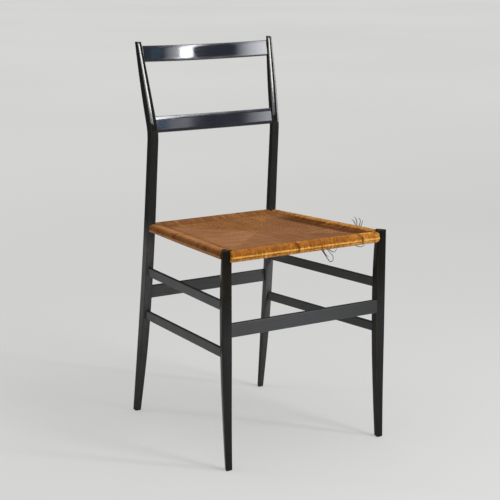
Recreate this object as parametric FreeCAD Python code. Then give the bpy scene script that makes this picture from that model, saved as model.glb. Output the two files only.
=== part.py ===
import FreeCAD, Part
import math
import os

# Side chair: a light lacquered frame of rounded triangular legs, with a woven seat.
# Millimetres, +Z up, the front faces -Y and left is -X.
# The origin is on the floor, at the middle of the chair's width and depth.

Vector = FreeCAD.Vector
UP = Vector(0, 0, 1)

# Heights: the bend is measured from the front legs' tops, and the posts from the bend
front_leg_height = 451.6
bend_above_seat = 188.4
post_height = 190.0
bend_height = front_leg_height + bend_above_seat
chair_height = bend_height + post_height

# Front legs, at their crowned front face
front_leg_x = 189.5
front_foot_lead = 5.6
front_foot_width = 14.5
front_foot_depth = 17.0
front_full_width = 22.5
front_full_depth = 27.9
front_nose_inward = 1.1

# Front leg stations at even heights, as shares of the foot's lead and from foot size to full size
front_lead_shares = (1, 0.63, 0.37, 0.19, 0.09, 0.03, 0.01, 0, 0)
front_width_shares = (0, 0.24, 0.48, 0.72, 0.92, 0.98, 1, 1, 1)
front_depth_shares = (0, 0.27, 0.52, 0.75, 0.92, 0.99, 0.97, 0.72, 0.275)

# Rear legs, one bent piece each; set back is measured from the front legs' faces at their tops
rear_foot_x = 165.0
rear_bend_x = 153.9
rear_top_x = 165.1
rear_foot_set_back = 444.7
rear_bend_set_back = 376.0
post_lean = 46.6
rear_foot_width = 13.5
rear_foot_depth = 17.3
rear_full_width = 18.5
rear_full_depth = 28.3
post_top_width = 10.5
post_top_depth = 14.5
rear_nose_outward = 2.6
rear_bow_forward = 4.0
rear_bow_inward = 1.4
bend_reach = 20.0

# Rear leg stations at even heights below the bend, as shares from foot size to full size
rear_width_shares = (0, 0.55, 0.90, 1, 1, 1, 0.95, 0.80, 0.70)
rear_depth_shares = (0, 0.42, 0.80, 0.98, 1.01, 1.01, 0.98, 0.92, 0.90)
rear_bend_width = rear_foot_width + (rear_full_width - rear_foot_width) * rear_width_shares[-1]
rear_bend_depth = rear_foot_depth + (rear_full_depth - rear_foot_depth) * rear_depth_shares[-1]

# Post stations at even heights above the bend, as shares from bend size to top size
post_width_shares = (0, 0.15, 0.31, 0.51, 0.75, 1)
post_depth_shares = (0, 0.09, 0.24, 0.44, 0.69, 1)

# Leg section, as shares of its width
crown_share = 0.04
corner_share = 0.11
nose_share = 0.21

# Leg ends and the flat planed on the front of each post
leg_top_round = 1.2
foot_round = 0.6
post_flat_depth = 0.4

# Stretchers: heights of their middles above the floor
front_stretcher_z = 288.2
back_stretcher_z = 282.0
upper_side_front_z = 336.6
upper_side_rear_z = 331.0
lower_side_front_z = 239.8
lower_side_rear_z = 232.2
front_stretcher_height = 28.1
back_stretcher_height = 27.4
side_stretcher_height = 19.3
cross_stretcher_thickness = 10.0
side_stretcher_thickness = 8.3
stretcher_edge_round = 1.6
front_stretcher_inset = 1.2
back_stretcher_inset = 8.0

# Back slats, bowed to the rear and leaning with the posts
upper_slat_below_top = 25.8
lower_slat_above_bend = 15.9
upper_slat_height = 34.4
lower_slat_height = 34.8
upper_slat_bow = 12.0
lower_slat_bow = 5.0
slat_thickness = 8.0
slat_inset = 3.6
slat_edge_round = 2.4

# Seat rails, hidden inside the wrapped edges
seat_below_leg_top = 12.6
seat_fall = 9.6
side_rail_rise = 0.6
front_rail_behind_face = 3.6
back_rail_behind_face = 4.4
side_rail_front_inward = 2.5
side_rail_rear_inward = 1.0
cross_rail_thickness = 15.0
cross_rail_height = 16.0
side_rail_thickness = 13.0
side_rail_height = 12.0
rail_edge_round = 3.0

# Woven seat: wrapped edges round the rails, and a sunken field of four mitred panels
front_wrap_lead = 8.4
cross_wrap_thickness = 24.0
cross_wrap_height = 22.4
side_wrap_thickness = 21.0
side_wrap_front_height = 17.8
side_wrap_rear_height = 20.0
wrap_edge_round = 8.0
wrap_end_round = 4.0
front_wrap_overlap = 5.2
rear_wrap_overlap = 4.0
field_tuck = 6.0
field_rise = 5.0
field_sag = 5.0
field_thickness = 3.0

# Joints: tenons inside the legs, and the clearances round them
tenon_thickness = 5.0
tenon_shoulder = 4.0
seat_tenon_height = 5.6
seat_tenon_web = 0.8
joint_clearance = 0.2
wrap_clearance = 0.2
cut_overrun = 20.0

# Heights of the rails' middles
seat_front_z = front_leg_height - seat_below_leg_top
seat_rear_z = seat_front_z - seat_fall

# The chair's depth runs from the front wrap to the back of the rear feet
face_y = -(rear_foot_set_back - front_wrap_lead) / 2


def blend(first, last, share):
    return first + (last - first) * share


def arc(first, middle, last):
    return Part.Arc(first, middle, last).toShape()


def line(first, last):
    return Part.LineSegment(first, last).toShape()


def largest_round(wanted, *walls):
    """A rounding that stays inside the thinnest wall it is cut from."""
    wall_share = 0.46
    return min(wanted, wall_share * min(walls))


def tangent_side(corner_centre, corner, nose_centre, nose, side):
    """Direction from both circle centres to their common outer tangent, on one side."""
    along = nose_centre - corner_centre
    tilt = (corner - nose) / along.Length
    along.normalize()
    across = Vector(along.y, -along.x, 0) * side
    return along * tilt + across * math.sqrt(1 - tilt ** 2)


def leg_section(x, front_y, z, width, depth, nose_shift):
    """Rounded triangle: a crowned face to the front and one rounded nose to the rear."""
    crown = crown_share * width
    corner = corner_share * width
    nose = nose_share * width
    half = width / 2 - corner
    reach = (half ** 2 + crown ** 2) / (2 * crown)
    crown_centre = Vector(x, front_y + reach + corner, z)
    corner_y = front_y + crown + corner
    right = Vector(x + half, corner_y, z)
    left = Vector(x - half, corner_y, z)
    nose_centre = Vector(x + nose_shift, front_y + depth - nose, z)
    right_front = (right - crown_centre).normalize()
    left_front = (left - crown_centre).normalize()
    right_side = tangent_side(right, corner, nose_centre, nose, 1)
    left_side = tangent_side(left, corner, nose_centre, nose, -1)
    right_middle = (right_front + right_side).normalize()
    left_middle = (left_front + left_side).normalize()
    nose_middle = (right_side + left_side).normalize()
    face_left = left + left_front * corner
    face_right = right + right_front * corner
    side_right = right + right_side * corner
    side_left = left + left_side * corner
    nose_right = nose_centre + right_side * nose
    nose_left = nose_centre + left_side * nose
    return Part.Wire([
        arc(face_left, Vector(x, front_y, z), face_right),
        arc(face_right, right + right_middle * corner, side_right),
        line(side_right, nose_right),
        arc(nose_right, nose_centre + nose_middle * nose, nose_left),
        line(nose_left, side_left),
        arc(side_left, left + left_middle * corner, face_left),
    ])


def edges_at(shape, z):
    """Edges that lie wholly at one height."""
    reach = joint_clearance / 2
    return [edge for edge in shape.Edges
            if abs(edge.BoundBox.ZMin - z) < reach and abs(edge.BoundBox.ZMax - z) < reach]


def round_leg_ends(leg, top_z, top_width, foot_width):
    """Softens the edges of both end faces, less than the corners they run round."""
    top_round = largest_round(leg_top_round, corner_share * top_width * 2)
    bottom_round = largest_round(foot_round, corner_share * foot_width * 2)
    leg = leg.makeFillet(top_round, edges_at(leg, top_z))
    return leg.makeFillet(bottom_round, edges_at(leg, 0))


def even_shares(values):
    """Shares from nothing to the whole, as many as there are values."""
    return [number / (len(values) - 1) for number in range(len(values))]


def front_leg():
    """Left front leg: straight crowned face, swelling to the rear under the seat."""
    sections = []
    for height, lead, width, depth in zip(
            even_shares(front_lead_shares), front_lead_shares, front_width_shares,
            front_depth_shares):
        sections.append(leg_section(
            -front_leg_x,
            face_y - front_foot_lead * lead,
            front_leg_height * height,
            blend(front_foot_width, front_full_width, width),
            blend(front_foot_depth, front_full_depth, depth),
            front_nose_inward))
    leg = Part.makeLoft(sections, True, False)
    return round_leg_ends(leg, front_leg_height, front_full_width, front_foot_width)


def lower_rear_place(z):
    """Face middle x and back y of the left rear leg below its bend."""
    share = z / bend_height
    bow = math.sin(math.pi * share)
    x = blend(rear_foot_x, rear_bend_x, share) - rear_bow_inward * bow
    back = blend(rear_foot_set_back, rear_bend_set_back, share) - rear_bow_forward * bow
    return -x, face_y + back


def post_place(z):
    """Face middle x and front y of the left post above the bend."""
    share = (z - bend_height) / post_height
    front = face_y + rear_bend_set_back - rear_bend_depth + post_lean * share
    return -blend(rear_bend_x, rear_top_x, share), front


def rear_leg():
    """Left rear leg: tapers to the foot, bends back above the seat and tapers to the top."""
    bend_start = bend_height - bend_reach
    bend_end = bend_height + bend_reach
    lower = []
    for height, width_share, depth_share in zip(
            even_shares(rear_width_shares), rear_width_shares, rear_depth_shares):
        z = bend_start * height
        x, back = lower_rear_place(z)
        width = blend(rear_foot_width, rear_full_width, width_share)
        depth = blend(rear_foot_depth, rear_full_depth, depth_share)
        lower.append(leg_section(x, back - depth, z, width, depth, -rear_nose_outward))
    start_x, start_back = lower_rear_place(bend_start)
    corner_x, corner_front = post_place(bend_height)
    end_x, end_front = post_place(bend_end)
    bend = []
    for share in even_shares(post_width_shares):
        near, middle, far = (1 - share) ** 2, 2 * share * (1 - share), share ** 2
        bend.append(leg_section(
            start_x * near + corner_x * middle + end_x * far,
            (start_back - rear_bend_depth) * near + corner_front * middle + end_front * far,
            blend(bend_start, bend_end, share), rear_bend_width, rear_bend_depth, -rear_nose_outward))
    post = []
    for height, width_share, depth_share in zip(
            even_shares(post_width_shares), post_width_shares, post_depth_shares):
        z = blend(bend_end, chair_height, height)
        x, front = post_place(z)
        width = blend(rear_bend_width, post_top_width, width_share)
        depth = blend(rear_bend_depth, post_top_depth, depth_share)
        nose = -rear_nose_outward * width / rear_bend_width
        post.append(leg_section(x, front, z, width, depth, nose))
    parts = [Part.makeLoft(sections, True, False) for sections in (lower, bend, post)]
    leg = parts[0].fuse(parts[1:])
    leg = round_leg_ends(leg, chair_height, post_top_width, rear_foot_width)
    return leg.cut(post_flat_cutter())


def post_flat_cutter():
    """Block whose rear face is the flat planed on the post, parallel to the post's front."""
    low_z = bend_height - cut_overrun
    high_z = chair_height + cut_overrun
    low = Vector(0, post_place(low_z)[1] + post_flat_depth, low_z)
    high = Vector(0, post_place(high_z)[1] + post_flat_depth, high_z)
    forward = Vector(0, -cut_overrun * 2, 0)
    wide = Vector(-rear_top_x * 2, 0, 0)
    outline = Part.makePolygon([low, high, high + forward, low + forward, low])
    return Part.Face(outline).extrude(wide)


def mirrored(shape):
    return shape.mirror(Vector(0, 0, 0), Vector(1, 0, 0))


def level(leg, z):
    """Bounding box of a leg's section at one height."""
    return leg.slice(UP, z)[0].BoundBox


def rounded_rectangle(centre, side, up, width, height, corner):
    """Closed outline square to side and up, with four equal arcs for corners."""
    corner = largest_round(corner, width, height)
    wide = side * (width / 2 - corner)
    tall = up * (height / 2 - corner)
    diagonal = math.sqrt(2)
    turns = ((1, -1, -up, side), (1, 1, side, up), (-1, 1, up, -side), (-1, -1, -side, -up))
    corners = []
    for across, along, first, last in turns:
        middle = centre + wide * across + tall * along
        corners.append((
            middle + first * corner,
            middle + (first + last) * (corner / diagonal),
            middle + last * corner))
    edges = []
    for number, points in enumerate(corners):
        edges.append(arc(*points))
        edges.append(line(points[2], corners[(number + 1) % len(corners)][0]))
    return Part.Wire(edges)


def bar(first, last, width, height, corner, last_height=None):
    """Straight bar between two points, its width level and its corners rounded."""
    along = (last - first).normalize()
    side = along.cross(UP).normalize()
    up = side.cross(along).normalize()
    start = rounded_rectangle(first, side, up, width, height, corner)
    finish = rounded_rectangle(last, side, up, width, last_height or height, corner)
    return Part.makeLoft([start, finish], True, True)


def grown_bar(first, last, width, height, clearance):
    """The hole for a square bar, with the clearance on every side and at both ends."""
    along = (last - first).normalize() * clearance
    return bar(
        first - along, last + along, width + 2 * clearance, height + 2 * clearance, clearance)


def round_bar_ends(shape, along, wanted, *walls):
    """Rounds the edges of the two end faces of a bar that runs roughly along one axis."""
    facing_share = 0.85
    edges = []
    for face in shape.Faces:
        normal = face.normalAt(0, 0)
        if abs(normal.dot(along)) > facing_share:
            edges.extend(face.Edges)
    return shape.makeFillet(largest_round(wanted, *walls), edges)


def jointed_bar(first, last, width, height, corner, legs):
    """A bar cut to the legs it meets, with a tenon that runs on to the middle of each leg."""
    tenon_height = height - 2 * tenon_shoulder
    body = bar(first, last, width, height, corner).cut(legs)
    tenon = bar(first, last, tenon_thickness, tenon_height, joint_clearance)
    mortise = grown_bar(first, last, tenon_thickness, tenon_height, joint_clearance)
    return body.fuse(tenon).removeSplitter(), mortise


def cross_stretcher(leg, right_leg, z, height, inset):
    """Stretcher between a pair of legs, set just behind their front faces."""
    section = level(leg, z)
    y = section.YMin + inset + cross_stretcher_thickness / 2
    x = section.Center.x
    return jointed_bar(
        Vector(x, y, z), Vector(-x, y, z), cross_stretcher_thickness, height,
        stretcher_edge_round, (leg, right_leg))


def side_stretcher(front, rear, front_z, rear_z):
    """Left side stretcher, from the nose of the front leg to the face of the rear leg."""
    front_section = level(front, front_z)
    rear_section = level(rear, rear_z)
    first = Vector(front_section.Center.x + front_nose_inward, front_section.Center.y, front_z)
    last = Vector(rear_section.Center.x, rear_section.Center.y, rear_z)
    return jointed_bar(
        first, last, side_stretcher_thickness, side_stretcher_height,
        stretcher_edge_round, (front, rear))


def bowed_bar(half_span, y, z, height, thickness, bow, lean, corner):
    """Leaning bar between two points level with each other, bowed to the rear."""
    up = Vector(0, math.sin(lean), math.cos(lean))
    rearward = Vector(0, math.cos(lean), -math.sin(lean))
    centre = Vector(0, y, z)
    across = Vector(half_span, 0, 0)
    half = rearward * (thickness / 2)
    bottom = up * (-height / 2)
    front_left = centre - across - half + bottom
    front_right = centre + across - half + bottom
    back_left = centre - across + half + bottom
    back_right = centre + across + half + bottom
    middle = centre + rearward * bow + bottom
    outline = Part.Wire([
        arc(front_left, middle - half, front_right),
        line(front_right, back_right),
        arc(back_right, middle + half, back_left),
        line(back_left, front_left),
    ])
    solid = Part.Face(outline).extrude(up * height)
    if not corner:
        return solid
    long_edges = [edge for edge in solid.Edges if edge.Length > half_span]
    return solid.makeFillet(largest_round(corner, thickness, height), long_edges)


def back_slat(post, right_post, z, height, bow):
    """Slat between the posts, with tenons that run to the middle of each post."""
    lean = math.atan2(post_lean, post_height)
    section = level(post, z)
    y = section.YMin + slat_inset + slat_thickness / 2
    half_span = -section.Center.x
    body = bowed_bar(half_span, y, z, height, slat_thickness, bow, lean, slat_edge_round)
    body = body.cut((post, right_post))
    tenon_height = height - 2 * tenon_shoulder
    tenon = bowed_bar(half_span, y, z, tenon_height, tenon_thickness, bow, lean, 0)
    mortise = bowed_bar(
        half_span + joint_clearance, y, z, tenon_height + 2 * joint_clearance,
        tenon_thickness + 2 * joint_clearance, bow, lean, 0)
    return body.fuse(tenon).removeSplitter(), mortise


def seat_rail(first, last, tenon_first, tenon_last, width, height, tenon_drop, legs):
    """Seat rail that stops at the legs, with a half-height tenon on to the middle of each."""
    body = bar(first, last, width, height, rail_edge_round).cut(legs)
    drop = UP * tenon_drop
    tenon = bar(
        tenon_first - drop, tenon_last - drop, tenon_thickness, seat_tenon_height, joint_clearance)
    mortise = grown_bar(
        tenon_first - drop, tenon_last - drop, tenon_thickness, seat_tenon_height, joint_clearance)
    return body.fuse(tenon).removeSplitter(), mortise


def wrap(first, last, width, height, last_height, along):
    """Outer shape of a wrapped edge, as one solid with rounded ends."""
    solid = bar(first, last, width, height, wrap_edge_round, last_height)
    return round_bar_ends(solid, along, wrap_end_round, width, height, last_height)


def field_panel(first, last, centre):
    """Three-sided woven panel with upright mitre faces, its last corner sagging."""
    down = UP * -field_thickness
    outline = Part.makePolygon([first, last, centre, first])
    return Part.Face(outline).extrude(down)


def export(name, shape):
    solids = shape.Solids
    result = solids[0] if len(solids) == 1 else Part.makeCompound(solids)
    result.exportStep("parts/" + name + ".step")
    print(name, len(solids), round(result.Volume), result.isValid())


def main():
    os.makedirs("parts", exist_ok=True)
    front_left = front_leg()
    front_right = mirrored(front_left)
    rear_left = rear_leg()
    rear_right = mirrored(rear_left)
    nodes = {}

    # Stretchers
    nodes["front_stretcher"], front_mortise = cross_stretcher(
        front_left, front_right, front_stretcher_z, front_stretcher_height, front_stretcher_inset)
    nodes["back_stretcher"], back_mortise = cross_stretcher(
        rear_left, rear_right, back_stretcher_z, back_stretcher_height, back_stretcher_inset)
    nodes["side_stretcher_upper_left"], upper_mortise = side_stretcher(
        front_left, rear_left, upper_side_front_z, upper_side_rear_z)
    nodes["side_stretcher_lower_left"], lower_mortise = side_stretcher(
        front_left, rear_left, lower_side_front_z, lower_side_rear_z)

    # Back slats
    nodes["back_slat_upper"], upper_slat_mortise = back_slat(
        rear_left, rear_right, chair_height - upper_slat_below_top, upper_slat_height,
        upper_slat_bow)
    nodes["back_slat_lower"], lower_slat_mortise = back_slat(
        rear_left, rear_right, bend_height + lower_slat_above_bend, lower_slat_height,
        lower_slat_bow)

    # Seat rails: the side rails ride a little higher, so their tenons pass over the others
    front_section = level(front_left, seat_front_z)
    rear_section = level(rear_left, seat_rear_z)
    tenon_drop = (seat_tenon_height + seat_tenon_web) / 2
    front_rail_y = front_section.YMin + front_rail_behind_face
    back_rail_y = rear_section.YMin + back_rail_behind_face
    front_tenon_y = front_section.YMin + cross_rail_thickness / 2
    back_tenon_y = rear_section.YMin + cross_rail_thickness / 2
    front_tenon = Vector(front_section.Center.x, front_tenon_y, seat_front_z)
    back_tenon = Vector(rear_section.Center.x, back_tenon_y, seat_rear_z)
    front_rail_end = Vector(front_section.XMax, front_rail_y, seat_front_z)
    back_rail_end = Vector(rear_section.XMax, back_rail_y, seat_rear_z)
    nodes["seat_rail_front"], front_rail_mortise = seat_rail(
        front_rail_end, Vector(-front_rail_end.x, front_rail_y, seat_front_z),
        front_tenon, Vector(-front_tenon.x, front_tenon_y, seat_front_z),
        cross_rail_thickness, cross_rail_height, tenon_drop, (front_left, front_right))
    nodes["seat_rail_back"], back_rail_mortise = seat_rail(
        back_rail_end, Vector(-back_rail_end.x, back_rail_y, seat_rear_z),
        back_tenon, Vector(-back_tenon.x, back_tenon_y, seat_rear_z),
        cross_rail_thickness, cross_rail_height, tenon_drop, (rear_left, rear_right))
    side_rail_front = Vector(
        -front_leg_x + side_rail_front_inward, front_section.Center.y, seat_front_z + side_rail_rise)
    side_rail_rear = Vector(
        rear_section.Center.x + side_rail_rear_inward, rear_section.Center.y,
        seat_rear_z + side_rail_rise)
    side_run = side_rail_rear - side_rail_front
    start_share = (front_section.YMax - rear_wrap_overlap - side_rail_front.y) / side_run.y
    stop_share = (rear_section.YMin - side_rail_front.y) / side_run.y
    side_start = side_rail_front + side_run * start_share
    side_stop = side_rail_front + side_run * stop_share
    nodes["seat_rail_left"], side_rail_mortise = seat_rail(
        side_start, side_stop, side_rail_front, side_rail_rear,
        side_rail_thickness, side_rail_height, -tenon_drop, (front_left, rear_left))

    # Wrapped edges: the cross wraps stand proud of the legs' faces
    front_wrap_y = face_y - front_wrap_lead + cross_wrap_thickness / 2
    front_wrap_end = Vector(front_section.XMax - front_wrap_overlap, front_wrap_y, seat_front_z)
    front_wrap = wrap(
        front_wrap_end, Vector(-front_wrap_end.x, front_wrap_y, seat_front_z),
        cross_wrap_thickness, cross_wrap_height, cross_wrap_height, Vector(1, 0, 0))
    back_wrap_end = Vector(rear_section.XMax - rear_wrap_overlap, back_rail_y, seat_rear_z)
    back_wrap = wrap(
        back_wrap_end, Vector(-back_wrap_end.x, back_rail_y, seat_rear_z),
        cross_wrap_thickness, cross_wrap_height, cross_wrap_height, Vector(1, 0, 0))
    left_wrap = wrap(
        side_start, side_stop, side_wrap_thickness, side_wrap_front_height,
        side_wrap_rear_height, Vector(0, 1, 0))
    right_wrap = mirrored(left_wrap)
    outer_wraps = (front_wrap, back_wrap, left_wrap, right_wrap)

    def sleeve(outer, first, last, width, height, others):
        hollow = grown_bar(first, last, width, height, wrap_clearance)
        return outer.cut((hollow,) + others)

    nodes["seat_wrap_front"] = sleeve(
        front_wrap, front_wrap_end + Vector(-cut_overrun, front_rail_y - front_wrap_y, 0),
        Vector(-front_wrap_end.x + cut_overrun, front_rail_y, seat_front_z),
        cross_rail_thickness, cross_rail_height, (front_left, front_right))
    nodes["seat_wrap_left"] = sleeve(
        left_wrap, side_rail_front, side_rail_rear,
        side_rail_thickness, side_rail_height, (front_left, rear_left, front_wrap))
    nodes["seat_wrap_back"] = sleeve(
        back_wrap, back_wrap_end + Vector(-cut_overrun, 0, 0),
        Vector(-back_wrap_end.x + cut_overrun, back_rail_y, seat_rear_z),
        cross_rail_thickness, cross_rail_height, (rear_left, rear_right, left_wrap, right_wrap))

    # Woven field: four panels above and four below, meeting at upright mitres
    front_x = side_rail_front.x + field_tuck
    rear_x = side_rail_rear.x + field_tuck
    front_y = front_rail_y + field_tuck
    back_y = back_rail_y - field_tuck
    middle_y = (front_y + back_y) / 2
    middle_z = (seat_front_z + seat_rear_z) / 2 - field_sag
    for layer, rise in (("top", field_rise), ("underside", field_thickness - field_rise)):
        lift = UP * rise
        corner_a = Vector(front_x, front_y, seat_front_z) + lift
        corner_b = Vector(-front_x, front_y, seat_front_z) + lift
        corner_c = Vector(-rear_x, back_y, seat_rear_z) + lift
        corner_d = Vector(rear_x, back_y, seat_rear_z) + lift
        centre = Vector(0, middle_y, middle_z) + lift
        sides = (("front", corner_a, corner_b), ("right", corner_b, corner_c),
                 ("back", corner_c, corner_d), ("left", corner_d, corner_a))
        for side, first, last in sides:
            nodes["seat_" + layer + "_" + side] = field_panel(first, last, centre).cut(outer_wraps)

    # Right-hand copies of the left-hand pieces
    for name in ("side_stretcher_upper", "side_stretcher_lower", "seat_rail", "seat_wrap"):
        nodes[name + "_right"] = mirrored(nodes[name + "_left"])

    # Legs, cut for the tenons last
    front_cuts = (front_mortise, upper_mortise, lower_mortise, front_rail_mortise, side_rail_mortise)
    rear_cuts = (back_mortise, upper_mortise, lower_mortise, back_rail_mortise, side_rail_mortise,
                 upper_slat_mortise, lower_slat_mortise)
    for name, leg, cuts in (("front_leg", front_left, front_cuts), ("rear_leg", rear_left, rear_cuts)):
        leg = leg.cut(cuts)
        nodes[name + "_left"] = leg
        nodes[name + "_right"] = mirrored(leg)

    for name, shape in nodes.items():
        export(name, shape)


main()
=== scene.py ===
import bpy
import math
import numpy as np
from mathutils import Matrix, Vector
from numpy.linalg import norm


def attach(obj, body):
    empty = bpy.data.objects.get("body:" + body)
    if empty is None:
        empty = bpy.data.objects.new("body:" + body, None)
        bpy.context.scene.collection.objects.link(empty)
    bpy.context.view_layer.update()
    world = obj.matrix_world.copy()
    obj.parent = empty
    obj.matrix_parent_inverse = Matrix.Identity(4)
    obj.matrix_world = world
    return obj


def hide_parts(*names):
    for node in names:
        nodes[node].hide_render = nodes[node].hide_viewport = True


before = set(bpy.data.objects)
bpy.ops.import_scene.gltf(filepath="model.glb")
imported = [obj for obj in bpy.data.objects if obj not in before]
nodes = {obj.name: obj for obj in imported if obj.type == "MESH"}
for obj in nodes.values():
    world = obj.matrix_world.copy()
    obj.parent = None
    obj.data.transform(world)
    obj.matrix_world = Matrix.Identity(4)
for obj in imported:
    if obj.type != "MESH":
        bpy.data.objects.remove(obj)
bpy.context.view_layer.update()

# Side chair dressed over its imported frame. Metres, +Z up, the front faces -Y, left is -X.

scene = bpy.context.scene
MM = 0.001


# Node helpers

def rgba(colour):
    """Four channels from three, or from one grey. A socket stays as it is."""
    if isinstance(colour, bpy.types.NodeSocket):
        return colour
    if isinstance(colour, (int, float)):
        colour = (colour, colour, colour)
    return (*colour, 1)


def feed(tree, socket, value):
    """Links another node's output into a socket, or sets the socket to a constant."""
    if isinstance(value, bpy.types.NodeSocket):
        tree.links.new(value, socket)
    else:
        socket.default_value = value


def add(tree, kind, inputs=None, **settings):
    node = tree.nodes.new("ShaderNode" + kind)
    for key, value in settings.items():
        setattr(node, key, value)
    for key, value in (inputs or {}).items():
        feed(tree, node.inputs[key], value)
    return node


def empty_material(name):
    """A material without nodes but its output, and that output's surface socket."""
    material = bpy.data.materials.new(name)
    material.use_nodes = True
    tree = material.node_tree
    tree.nodes.clear()
    return material, tree, add(tree, "OutputMaterial").inputs["Surface"]


def new_material(name):
    material, tree, surface = empty_material(name)
    shader = add(tree, "BsdfPrincipled")
    feed(tree, surface, shader.outputs["BSDF"])
    return material, tree, shader


def dress(tree, shader, tint, rough, height, strength, distance, gloss=0.5):
    """Gives a shader its colour, roughness, bump and gloss."""
    bump = add(tree, "Bump", {
        "Height": height, "Strength": strength, "Distance": distance}).outputs["Normal"]
    for key, value in (("Base Color", tint), ("Roughness", rough), ("Normal", bump),
                       ("Specular IOR Level", gloss)):
        feed(tree, shader.inputs[key], value)


def ramp(tree, factor, stops):
    """Colour ramp from (position, colour) stops; a single number is a grey."""
    node = add(tree, "ValToRGB", {"Fac": factor})
    elements = node.color_ramp.elements
    while len(elements) < len(stops):
        elements.new(0.5)
    for element, (position, colour) in zip(elements, stops):
        element.position = position
        element.color = rgba(colour)
    return node.outputs["Color"]


def noise(tree, vector, scale, detail=3.0, roughness=0.5):
    return add(tree, "TexNoise", {
        "Vector": vector, "Scale": scale, "Detail": detail, "Roughness": roughness,
    }).outputs["Fac"]


def object_place(tree, along=None, squeeze=1.0):
    """Object coordinates, squeezed along one axis so that a texture runs with it."""
    scale = [1.0, 1.0, 1.0]
    if along is not None:
        scale[along] = squeeze
    place = add(tree, "TexCoord").outputs["Object"]
    return add(tree, "Mapping", {"Vector": place, "Scale": scale}).outputs["Vector"]


def axis(tree, vector, letter):
    return add(tree, "SeparateXYZ", {0: vector}).outputs[letter]


def attribute(tree, name):
    return add(tree, "Attribute", attribute_name=name).outputs["Fac"]


def mix(tree, factor, first, second, blend="MIX"):
    return add(tree, "Mix", {0: factor, 6: rgba(first), 7: rgba(second)},
               data_type="RGBA", blend_type=blend).outputs[2]


def tinted(tree, tint, by):
    return mix(tree, 1.0, tint, by, "MULTIPLY")


def maths(tree, operation, first, second):
    return add(tree, "Math", {0: first, 1: second}, operation=operation).outputs[0]


def plus(tree, first, second):
    return maths(tree, "ADD", first, second)


def times(tree, first, second):
    return maths(tree, "MULTIPLY", first, second)


def remap(tree, value, low, high, new_low, new_high, **settings):
    return add(tree, "MapRange", {
        0: value, 1: low, 2: high, 3: new_low, 4: new_high}, **settings).outputs[0]


def paint(node, material):
    node.data.materials.clear()
    node.data.materials.append(material)


# Black lacquer over fine-grained wood

GRAIN_SQUEEZE, BARE_GRAIN_SQUEEZE = 0.035, 0.05
PORE_SCALE, GRAIN_SCALE, BARE_GRAIN_SCALE = 1500.0, 420.0, 160.0
CLOUD_SCALE, RUB_SCALE, NICK_SCALE = 26.0, 9.0, 240.0
RUBBED_TINT, FRAYED_TINT = (0.040, 0.030, 0.022), (0.055, 0.046, 0.030)
# The first tint on the next line is a painted highlight for a line along the rear posts' faces
HIGHLIGHT_TINT, NICK_TINT = (0.80, 0.80, 0.82), (0.10, 0.08, 0.06)


def lacquer(name, along, black, low, high, gloss=0.5, rubbed=0.5, relief=0.10,
            light_by_height=None, light_by_x=None, top_shade=None, shine_tint=(1, 1, 1)):
    """Lacquer whose grain runs along one axis, with roughness from low to high.

    The ramps over Z and over X + 0.5 multiply the tint as painted light and shade. The top share
    is the share of the tint left on faces that look up, a painted shade on them, and those faces
    are duller too.
    """
    material, tree, shader = new_material(name)
    grain_place = object_place(tree, along, GRAIN_SQUEEZE)
    place = object_place(tree)
    edge = attribute(tree, "edge")
    pores = noise(tree, grain_place, PORE_SCALE, 4.0, 0.6)
    grain = noise(tree, grain_place, GRAIN_SCALE, 5.0, 0.55)
    cloud = noise(tree, place, CLOUD_SCALE, 3.0)
    rub = noise(tree, place, RUB_SCALE, 4.0, 0.65)
    specks = noise(tree, place, NICK_SCALE, 2.0)
    tint = ramp(tree, grain, ((0.35, black), (0.75, tuple(1.35 * c for c in black))))
    # Painted light and shade: the tint follows ramps over height and across X
    if light_by_height:
        tint = tinted(tree, tint, ramp(tree, axis(tree, place, "Z"), light_by_height))
    if light_by_x:
        tint = tinted(tree, tint, ramp(tree, plus(tree, axis(tree, place, "X"), 0.5), light_by_x))
    # Painted shade on faces that look up
    if top_shade:
        facing = add(tree, "NewGeometry").outputs["Normal"]
        upward = ramp(tree, axis(tree, facing, "Z"), ((0.5, 0.0), (0.9, 1.0)))
        tint = mix(tree, upward, tint, tinted(tree, tint, top_shade))
    wear = times(tree, ramp(tree, rub, ((0.56, 0.0), (0.74, 1.0))),
                 ramp(tree, grain, ((0.40, 0.25), (0.65, 1.0))))
    tint = mix(tree, times(tree, wear, rubbed), tint, RUBBED_TINT)
    fray = times(tree, ramp(tree, edge, ((0.0, 0.0), (0.5, 1.0))),
                 ramp(tree, rub, ((0.38, 0.15), (0.62, 1.0))))
    tint = mix(tree, times(tree, fray, 0.8), tint, FRAYED_TINT)
    # Painted highlight: only the line along the rear posts' faces has edge values above 0.55, and
    # there the tint turns pale
    painted_highlight = ramp(tree, edge, ((0.55, 0.0), (1.0, 1.0)))
    tint = mix(tree, times(tree, painted_highlight, 0.95), tint, HIGHLIGHT_TINT)
    nick = ramp(tree, specks, ((0.70, 0.0), (0.76, 1.0)))
    tint = mix(tree, times(tree, nick, 0.3), tint, NICK_TINT)
    spread = plus(tree, times(tree, cloud, 0.6), times(tree, grain, 0.4))
    rough = remap(tree, spread, 0.30, 0.70, low, high)
    rough = plus(tree, rough, times(tree, edge, 0.6))
    if top_shade:
        rough = plus(tree, rough, times(tree, upward, 0.5))
    height = plus(tree, plus(tree, times(tree, pores, 0.35), grain), times(tree, cloud, 1.2))
    dress(tree, shader, tint, rough, height, relief, 0.3 * MM, gloss)
    shader.inputs["Specular Tint"].default_value = rgba(shine_tint)
    return material


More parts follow.
